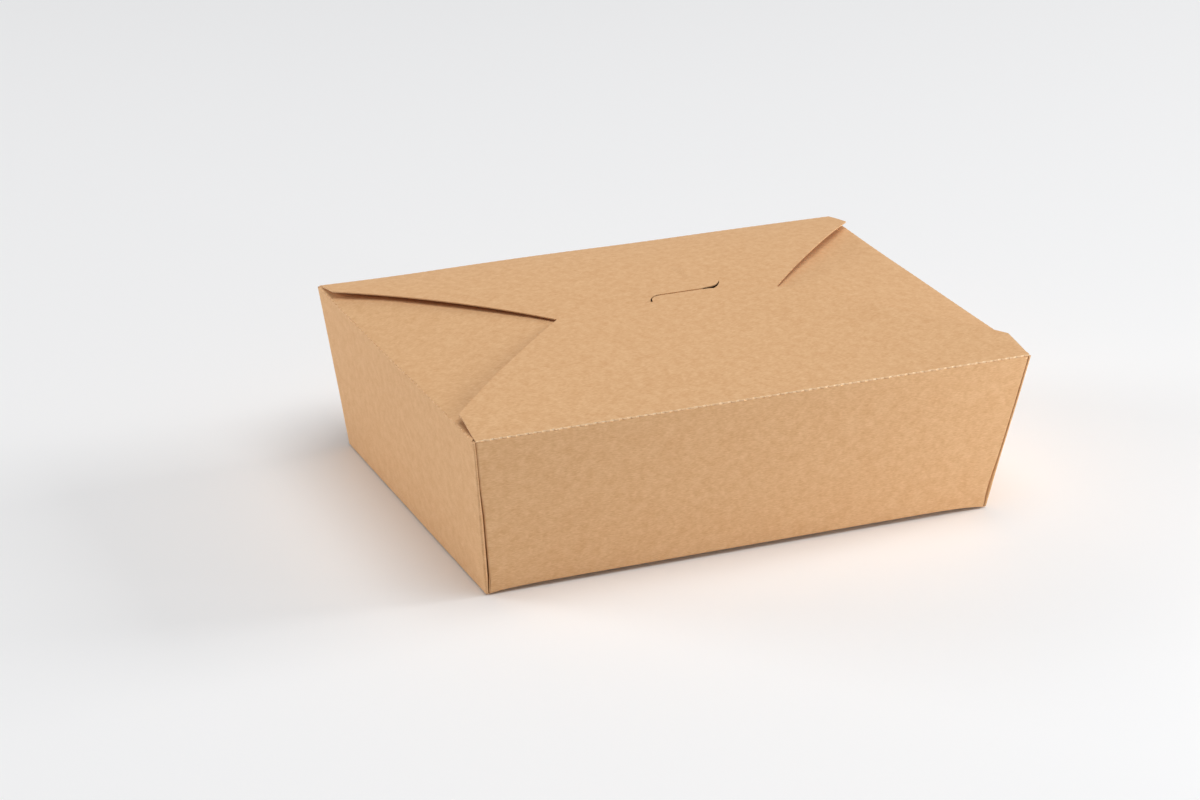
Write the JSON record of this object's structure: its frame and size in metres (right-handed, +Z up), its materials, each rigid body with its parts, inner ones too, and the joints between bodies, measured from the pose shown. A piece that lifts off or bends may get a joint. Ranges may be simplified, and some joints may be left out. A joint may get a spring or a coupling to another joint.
{
  "type": "kraft food container",
  "caption": "Rectangular kraft paperboard take-out container with flared walls, webbed corners and an envelope-style lid of folding flaps closed by a tab in a slit.",
  "frame": {"origin": "under the middle of the bottom panel, on the surface that the container stands on", "axes": "+X along the length, to the right seen from the front; +Y from the front wall to the back wall; +Z up"},
  "size_m": [0.2168, 0.157, 0.0689],
  "materials": {
    "kraft_board": "uncoated brown kraft paperboard, matt, with fine fibre mottling"
  },
  "bodies": {
    "tray": {"folded_tray": "kraft_board"},
    "front_flap": {"front_flap": "kraft_board"}
  },
  "joints": [
    {"name": "front_flap_hinge", "type": "hinge", "parent": "tray", "child": "front_flap", "pos_m": [0, -0.07831, 0.06139], "axis": [1, 0, 0], "range_deg": [0, 170]}
  ]
}
